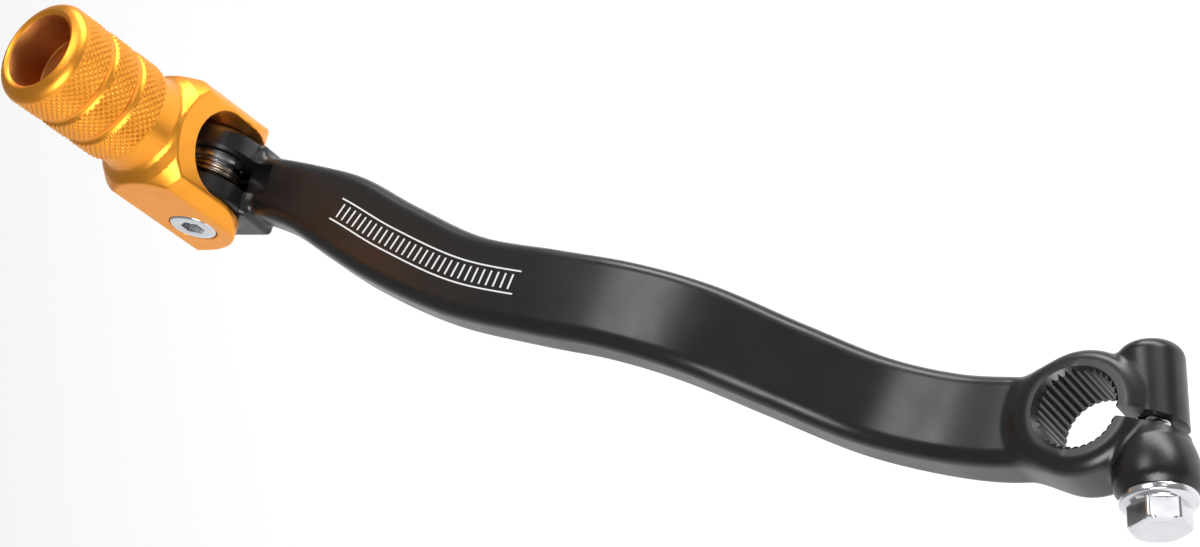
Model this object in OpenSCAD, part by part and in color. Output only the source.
// Gear shift lever with a folding tip.
// The origin is the centre of the splined bore, halfway through the hub. +Z runs along the bore
// away from the engine, +X points towards the tip, and +Y points to the head of the pinch bolt.

/* [Lever] */
// Distance from the bore to the tip's pivot along the lever
reach = 186.5; // [180:0.5:192]
// Height of the tip's pivot above the middle of the hub
rise = 33; // [31:0.5:35]
// Width of the forged arm
arm_w = 17; // [15:0.5:19]
// Thickness of the forged arm beside the hub
arm_t = 11.5; // [10:0.5:13]
// Thickness of the forged arm beside the fork
neck_t = 8.5; // [8:0.5:10]
// Radius on the long edges of the arm
arm_edge_r = 2.8; // [1:0.2:3.6]

/* [Clamp] */
// Outer diameter of the hub
hub_d = 23.4; // [22.8:0.2:26]
// Height of the hub
hub_h = 14; // [13:0.5:16]
// Diameter on the crests of the splines
spline_crest_d = 14; // [13:0.1:14.2]
// Diameter in the roots of the splines
spline_root_d = 15.2; // [14.4:0.1:15.2]
// Number of splines
spline_n = 34; // [30:1:38]
// Width of the slit that closes on the shaft
slit_w = 2; // [1.5:0.1:2.5]
// Direction of the slit, turned from -X towards -Y
slit_turn = 8; // [4:1:12]
// Direction of the pinch bolt, turned from +Y towards -X
pinch_turn = 25; // [20:1:28]
// Distance from the bore's axis to the bolt's axis
pinch_offset = 11.2; // [11.1:0.1:12]
// Distance from the bore's axis to the seat under the bolt's head, along the bolt
pinch_seat = 16.4; // [16:0.2:18]

/* [Folding tip] */
// Diameter over the knurled bands
knurl_d = 21.4; // [20.4:0.2:22]
// Height of the barrel's mouth above the pivot
tip_h = 50.6; // [49:0.2:54]
// Diameter of the bore in the barrel's mouth
mouth_d = 15; // [14:0.5:15.5]
// Depth of the bore in the barrel's mouth
mouth_depth = 9; // [6:0.5:20]
// Diameter of the turned yoke
yoke_d = 28; // [27:0.2:29]
// Width over the outer faces of the two ears
ears_w = 23.8; // [23.6:0.2:24.6]
// Width over the front and back faces of the yoke
yoke_w = 20.8; // [20.2:0.2:21.4]
// Width of the slot between the ears
slot_w = 17.2; // [17:0.1:17.4]
// Lean of the barrel away from the hub when it rests on its stop
tip_lean = 4; // [0:1:6]
// Turn of the pivot about the vertical, so that the fork follows the arm
pivot_turn = 10; // [8:1:12]

/* [Pivot] */
// Diameter of the pivot screw
screw_d = 5; // [4:0.5:5]
// Outer diameter of the sleeve that the fork turns on
sleeve_d = 7; // [6.6:0.2:7.4]
// Radial running clearance between the sleeve and its bushes
running_gap = 0.05; // [0.02:0.01:0.08]
// Width of the fork over its two prongs
fork_w = 15.6; // [15.2:0.2:15.8]
// Width of the gap between the prongs
fork_gap = 6.6; // [6:0.2:7]
// Diameter of the spring's wire
wire_d = 1.4; // [1.2:0.1:1.5]
// Mean diameter of the spring's coils
coil_d = 11; // [10.6:0.2:11.4]

/* [Hidden] */

$fn = 64;
eps = 0.01;

// The arm's centre line, from inside the hub to inside the fork: a joggle outwards, then a
// shallow S in plan. Each point is [x, y, z, width / arm_w].
arm_path = [
    [4, 1.5, 0, 0.95], [14, 4.2, 0, 1], [26, 5.8, 0.3, 0.98], [40, 6.6, 3.4, 0.98],
    [54, 6.6, 12, 0.98], [68, 6.6, 21.5, 1], [82, 7, 25.8, 1], [98, 7.9, 27, 1],
    [118, 8, 26.6, 0.97], [138, 4.6, 26, 1], [154, 0.6, 25.6, 0.97], [166, -1.2, 26, 0.81],
    [179, -1.5, 26.6, 0.72]];
arm_steps = 4;
arm_last = len(arm_path) - 1;
corner_steps = 4;

// Catmull-Rom curve through the path's points, with t counted in points
function path_at(i) = arm_path[max(0, min(arm_last, i))];
function curve(a, b, c, d, u) =
    0.5 * (2 * b + (c - a) * u + (2 * a - 5 * b + 4 * c - d) * u * u
    + (3 * b - a - 3 * c + d) * u * u * u);
function arm_at(t) =
    let (i = min(arm_last - 1, floor(t)))
    curve(path_at(i - 1), path_at(i), path_at(i + 1), path_at(i + 2), t - i);
function unit(v) = v / norm(v);
function arm_heading(t) =
    let (a = arm_at(max(0, t - 0.02)), b = arm_at(min(arm_last, t + 0.02)))
    unit([b[0] - a[0], b[1] - a[1], b[2] - a[2]]);

// One cross-section: a rectangle with round corners, square to the arm's heading
function corner_sign(k) = [[1, 1], [-1, 1], [-1, -1], [1, -1]][k];
function arm_section(t) =
    let (
        p = arm_at(t),
        ahead = arm_heading(t),
        side = unit([-ahead[1], ahead[0], 0]),
        up = cross(ahead, side),
        half_w = arm_w * p[3] / 2 - arm_edge_r,
        half_t = (arm_t + (neck_t - arm_t) * t / arm_last) / 2 - arm_edge_r)
    [for (k = [0:3]) for (s = [0:corner_steps])
        let (a = 90 * (k + s / corner_steps), m = corner_sign(k))
        [p[0], p[1], p[2]] + side * (m[0] * half_w + arm_edge_r * cos(a))
        + up * (m[1] * half_t + arm_edge_r * sin(a))];

// Loft through the sections, closed at both ends
module arm_loft() {
    rings = arm_last * arm_steps;
    per_ring = 4 * (corner_steps + 1);
    points = [for (i = [0:rings]) each arm_section(i / arm_steps)];
    sides = [for (i = [0:rings - 1]) for (j = [0:per_ring - 1])
        let (a = i * per_ring + j, b = i * per_ring + (j + 1) % per_ring)
        each [[a, b + per_ring, b], [a, a + per_ring, b + per_ring]]];
    near_end = [[for (j = [0:per_ring - 1]) j]];
    far_end = [[for (j = [per_ring - 1:-1:0]) rings * per_ring + j]];
    polyhedron(points = points, faces = concat(sides, near_end, far_end), convexity = 6);
}

// Places children at the tip's pivot: +Y along the pivot, +X away from the hub
module at_pivot() {
    translate([reach, 0, rise])
        rotate([0, 0, pivot_turn])
            children();
}

// Places children in the tip's own frame: +Z along the barrel
module at_tip() {
    at_pivot()
        rotate([0, tip_lean, 0])
            children();
}

// Places children on the pinch bolt's axis: +Z towards the bolt's head, zero beside the bore's axis
module at_pinch() {
    rotate([0, 0, pinch_turn])
        translate([-pinch_offset, 0, 0])
            rotate([-90, 0, 0])
                children();
}

// A cylinder along Y, from y = a to y = b
module y_cylinder(r, a, b) {
    translate([0, a, 0])
        rotate([-90, 0, 0])
            cylinder(r = r, h = b - a);
}

/* The clamp */
hub_edge_r = 3;
boss_r = 6;
boss_h = 11.8;
boss_end = 6;
boss_edge_r = 2.9;
chamfer_front = 0.7;
chamfer_back = 0.8;
bolt_r = 3;
bolt_clear_r = 3.2;
bolt_end = -9.6;
// where the slit crosses the bolt's axis
slit_at = pinch_offset * tan(pinch_turn - slit_turn);

// A turned disc whose outer edges are round
module round_disc(r, low, high, edge_r) {
    rotate_extrude()
        union() {
            translate([0, low])
                square([r - edge_r, high - low]);
            translate([0, low + edge_r])
                square([r, high - low - 2 * edge_r]);
            translate([r - edge_r, low + edge_r])
                circle(r = edge_r);
            translate([r - edge_r, high - edge_r])
                circle(r = edge_r);
        }
}

// The threaded jaw's boss: a plain post with a domed end, which the slit parts from the head's side
module upper_boss() {
    at_pinch()
        translate([0, 0, -boss_h])
            rotate_extrude()
                union() {
                    square([boss_r - boss_edge_r, boss_h]);
                    translate([0, boss_edge_r])
                        square([boss_r, boss_h + boss_end - boss_edge_r]);
                    translate([boss_r - boss_edge_r, boss_edge_r])
                        circle(r = boss_edge_r);
                }
}

// The head side's boss: a bell that widens away from the slit and turns in under its rim
bell_r = 7.7;
bell_rim_r = 3;
bell_rim_h = 13.2;
module lower_boss() {
    at_pinch()
        rotate_extrude()
            union() {
                polygon([[0, 0], [4.8, 0], [boss_r, boss_end], [6.7, boss_end + 2],
                    [bell_r - 0.2, bell_rim_h - 2.4], [bell_r, bell_rim_h], [0, bell_rim_h]]);
                translate([bell_r - bell_rim_r, bell_rim_h])
                    circle(r = bell_rim_r);
                square([bell_r - 1.3, pinch_seat]);
            }
}

// Metal between the hub and the two bosses
jaw_h = 10;
module jaws() {
    rotate([0, 0, pinch_turn])
        translate([-pinch_offset, -8, -jaw_h / 2])
            cube([pinch_offset, 17, jaw_h]);
}

// A 45 degree cone that opens towards the hub's front face
module bore_chamfer(crest_r, size) {
    inset = 0.3;
    translate([0, 0, hub_h / 2 - size - inset])
        cylinder(r1 = crest_r - inset, r2 = crest_r + size + eps, h = size + inset + eps);
}

// Everything the spline broach, the slitting saw and the bolt drill take out
module clamp_cuts() {
    crest_r = spline_crest_d / 2;
    root_r = spline_root_d / 2;
    pitch = 360 / spline_n;
    // each groove is a V that starts a little inside the crests
    inset = 0.2;
    half_w = crest_r * sin(0.3 * pitch) * (root_r - crest_r + inset) / (root_r - crest_r);
    cylinder(r = crest_r, h = hub_h + 2, center = true);
    for (i = [0:spline_n - 1])
        rotate([0, 0, i * pitch])
            linear_extrude(height = hub_h + 2, center = true)
                polygon([[root_r, 0], [crest_r - inset, half_w], [crest_r - inset, -half_w]]);
    bore_chamfer(crest_r, chamfer_front);
    mirror([0, 0, 1])
        bore_chamfer(crest_r, chamfer_back);
    rotate([0, 0, slit_turn])
        translate([-24, -slit_w / 2, -hub_h])
            cube([24, slit_w, 2 * hub_h]);
    at_pinch() {
        translate([0, 0, bolt_end - 0.5])
            cylinder(r = bolt_r + 0.02, h = slit_at - bolt_end + 0.5);
        translate([0, 0, slit_at])
            cylinder(r = bolt_clear_r, h = pinch_seat);
    }
}

/* The fork, in the pivot's frame: +X away from the hub, +Z towards the barrel */
fork_r = 8.8;
fork_low = -12;
fork_back = -9.7;
prong_chamfer = 1.4;
heel_h = 10.8;
heel_w = 13.6;
gap_r = 7.8;
gap_back = -13;
gap_floor = -4;
bush_r = 4.6;

// A round prong blank, chamfered so that it clears the round end of the yoke's slot
module prong_blank() {
    half = fork_w / 2;
    y_cylinder(fork_r, -half + prong_chamfer, half - prong_chamfer);
    translate([0, half - prong_chamfer, 0])
        rotate([-90, 0, 0])
            cylinder(r1 = fork_r, r2 = fork_r - prong_chamfer, h = prong_chamfer);
    translate([0, -half + prong_chamfer, 0])
        rotate([90, 0, 0])
            cylinder(r1 = fork_r, r2 = fork_r - prong_chamfer, h = prong_chamfer);
}

module fork() {
    at_pivot() {
        prong_blank();
        translate([fork_back, -fork_w / 2, fork_low])
            cube([2 * -fork_back, fork_w, -fork_low - 2]);
        // the heel that the yoke's slot comes to rest on
        translate([4.8, -heel_w / 2, -3])
            cube([4.7, heel_w, heel_h + 3]);
    }
}

module fork_cuts() {
    at_pivot() {
        y_cylinder(gap_r, -fork_gap / 2, fork_gap / 2);
        translate([0, -fork_gap / 2, 0])
            cube([gap_r + 4, fork_gap, 20]);
        translate([gap_back, -fork_gap / 2, gap_floor])
            cube([eps - gap_back, fork_gap, 20]);
        y_cylinder(bush_r, -fork_w, fork_w);
        // blind hole for the spring's fixed leg
        translate([-13, fixed_leg_y, -coil_d / 2])
            rotate([0, 90, 0])
                cylinder(d = wire_d + 0.1, h = 13);
    }
}

module lever_arm() {
    color([0.06, 0.06, 0.065])
        difference() {
            union() {
                arm_loft();
                round_disc(hub_d / 2, -hub_h / 2, hub_h / 2, hub_edge_r);
                upper_boss();
                lower_boss();
                jaws();
                fork();
            }
            clamp_cuts();
            fork_cuts();
        }
}

/* The M6 flange bolt */
flange_d = 13.4;
flange_t = 1.3;
bolt_head_h = 6;
hex_af = 9.8;

module pinch_bolt() {
    color([0.82, 0.83, 0.85])
        at_pinch() {
            translate([0, 0, bolt_end])
                cylinder(r = bolt_r, h = pinch_seat - bolt_end);
            translate([0, 0, pinch_seat])
                cylinder(d = flange_d, h = flange_t);
            translate([0, 0, pinch_seat + flange_t])
                cylinder(d1 = flange_d - 0.6, d2 = hex_af + 0.6, h = 0.9);
            intersection() {
                translate([0, 0, pinch_seat])
                    cylinder(d = hex_af / cos(30), h = bolt_head_h, $fn = 6);
                translate([0, 0, pinch_seat])
                    union() {
                        cylinder(d = 2 * hex_af, h = bolt_head_h - 0.9);
                        translate([0, 0, bolt_head_h - 0.9])
                            cylinder(d1 = hex_af + 3, d2 = hex_af - 1, h = 0.9);
                    }
            }
        }
}

/* The folding tip, in the tip's own frame */
slot_end = 15.3;
ear_low = -9.8;
// radius on the hub's side of each ear's end, and on the far side
ear_near_r = 14.3;
ear_far_r = 2;
shoulder_h = 16;
collar_h = 20.4;
collar_r = 9.9;
foot_r = 10.2;
band_low = 26;
band_high = 47.8;
lip_r = 10;
groove_w = 2.2;
groove_depth = 0.75;
head_r = 4.8;
head_h = 2.2;
socket_af = 4;
nut_r = 4.2;
nut_h = 2.4;

module tip_blank() {
    rotate_extrude()
        polygon([[0, -14], [yoke_d / 2, -14], [yoke_d / 2, shoulder_h], [12.2, 18.6],
            [foot_r, collar_h - 0.1], [collar_r, collar_h + 0.9], [collar_r, band_low],
            [knurl_d / 2, band_low + 0.4], [knurl_d / 2, band_high], [lip_r, tip_h - 0.8],
            [lip_r - 1, tip_h], [0, tip_h]]);
}

// The yoke from the side: flat at the front and back, with a wide curve under each ear
module yoke_outline() {
    half = yoke_w / 2;
    near_h = ear_low + ear_near_r;
    translate([-half, near_h])
        square([yoke_w, tip_h + 1 - near_h]);
    translate([ear_near_r - half, ear_low])
        square([yoke_w - ear_near_r - ear_far_r, ear_near_r + 1]);
    translate([half - ear_far_r - eps, ear_low + ear_far_r])
        square([ear_far_r + eps, ear_near_r + 1]);
    translate([half - ear_far_r, ear_low + ear_far_r])
        circle(r = ear_far_r);
    intersection() {
        translate([-half, ear_low])
            square([ear_near_r + eps, ear_near_r + 1]);
        translate([ear_near_r - half, near_h])
            circle(r = ear_near_r);
    }
}

// A turned groove that parts two knurled bands
module band_groove(h) {
    translate([0, 0, h - groove_w / 2])
        difference() {
            cylinder(d = knurl_d + 2, h = groove_w);
            translate([0, 0, -eps])
                cylinder(r = knurl_d / 2 - groove_depth, h = groove_w + 2 * eps);
        }
}

module toe_tip() {
    ear_y = ears_w / 2;
    color([0.93, 0.6, 0.13])
        at_tip()
            difference() {
                intersection() {
                    tip_blank();
                    rotate([90, 0, 0])
                        linear_extrude(height = ears_w, center = true)
                            yoke_outline();
                }
                // the slot for the fork, with a full round end
                translate([-20, 0, slot_end - slot_w / 2])
                    rotate([0, 90, 0])
                        cylinder(d = slot_w, h = 40);
                translate([-20, -slot_w / 2, -20])
                    cube([40, slot_w, 20 + slot_end - slot_w / 2]);
                // screw hole with its counterbore, and the nut's pocket
                y_cylinder(screw_d / 2 + 0.05, -20, 20);
                y_cylinder(head_r + 0.15, ear_y - head_h + 0.2, ear_y + 1);
                y_cylinder(nut_r, -ear_y - 1, -ear_y + nut_h - 0.4);
                // blind hole for the spring's moving leg
                translate([coil_d / 2, moving_leg_y, slot_end - 3])
                    cylinder(d = wire_d + 0.1, h = 6);
                translate([0, 0, tip_h - mouth_depth])
                    cylinder(d = mouth_d, h = mouth_depth + 1);
                band_groove(33);
                band_groove(40.6);
            }
}

/* Pivot hardware */
module pivot_screw() {
    ear_y = ears_w / 2;
    color([0.8, 0.8, 0.82])
        at_tip()
            difference() {
                union() {
                    y_cylinder(screw_d / 2, -ear_y - 0.2, ear_y - head_h + 0.3);
                    y_cylinder(head_r, ear_y - head_h + 0.2, ear_y + 0.2);
                }
                translate([0, ear_y + 0.2, 0])
                    rotate([90, 0, 0])
                        cylinder(d = socket_af / cos(30), h = 1.7, $fn = 6);
            }
}

module pivot_nut() {
    ear_y = ears_w / 2;
    color([0.8, 0.8, 0.82])
        at_tip()
            difference() {
                y_cylinder(nut_r, -ear_y - 0.4, -ear_y + nut_h - 0.4);
                y_cylinder(screw_d / 2, -ear_y - 1, -ear_y + nut_h);
            }
}

module pivot_sleeve() {
    color([0.72, 0.72, 0.74])
        at_tip()
            difference() {
                y_cylinder(sleeve_d / 2, -slot_w / 2, slot_w / 2);
                y_cylinder(screw_d / 2 + 0.05, -slot_w, slot_w);
            }
}

// A plain bush pressed into one prong; side is 1 for the screw head's side, -1 for the nut's
module fork_bush(side) {
    inner = fork_gap / 2;
    outer = fork_w / 2;
    color([0.65, 0.5, 0.3])
        at_pivot()
            difference() {
                y_cylinder(bush_r, min(side * inner, side * outer), max(side * inner, side * outer));
                y_cylinder(sleeve_d / 2 + running_gap, -fork_w, fork_w);
            }
}

module thrust_washer(side) {
    inner = fork_w / 2;
    outer = slot_w / 2 - 0.1;
    color([0.75, 0.75, 0.77])
        at_pivot()
            difference() {
                y_cylinder(6, min(side * inner, side * outer), max(side * inner, side * outer));
                y_cylinder(sleeve_d / 2 + running_gap, -slot_w, slot_w);
            }
}

/* The torsion spring: its coils' outline, the leg in the fork and the leg in the yoke */
coils = 3;
coils_y = 0.6;
moving_leg_y = coils_y + (coils - 1) * wire_d / 2;
fixed_leg_y = coils_y - (coils - 1) * wire_d / 2;
leg_d = wire_d - 0.1;

module torsion_spring() {
    half = coils * wire_d / 2;
    color([0.55, 0.5, 0.45]) {
        at_pivot() {
            difference() {
                y_cylinder((coil_d + wire_d) / 2, coils_y - half, coils_y + half);
                y_cylinder((coil_d - wire_d) / 2, -fork_w, fork_w);
            }
            translate([-12.5, fixed_leg_y, -coil_d / 2])
                rotate([0, 90, 0])
                    cylinder(d = leg_d, h = 12.5);
        }
        at_tip()
            translate([coil_d / 2, moving_leg_y, 0])
                cylinder(d = leg_d, h = slot_end + 1);
    }
}

module spring_spacer() {
    color([0.8, 0.8, 0.82])
        at_pivot()
            difference() {
                union() {
                    y_cylinder(4.6, -fork_gap / 2 + 0.05, fork_gap / 2 - 0.05);
                    y_cylinder(6, -fork_gap / 2 + 0.05, coils_y - coils * wire_d / 2 - 0.05);
                }
                y_cylinder(sleeve_d / 2 + running_gap, -fork_w, fork_w);
            }
}

lever_arm();
pinch_bolt();
toe_tip();
pivot_screw();
pivot_nut();
pivot_sleeve();
fork_bush(1);  // fork_bush_lower
fork_bush(-1);  // fork_bush_upper
thrust_washer(1);  // thrust_washer_lower
thrust_washer(-1);  // thrust_washer_upper
torsion_spring();
spring_spacer();
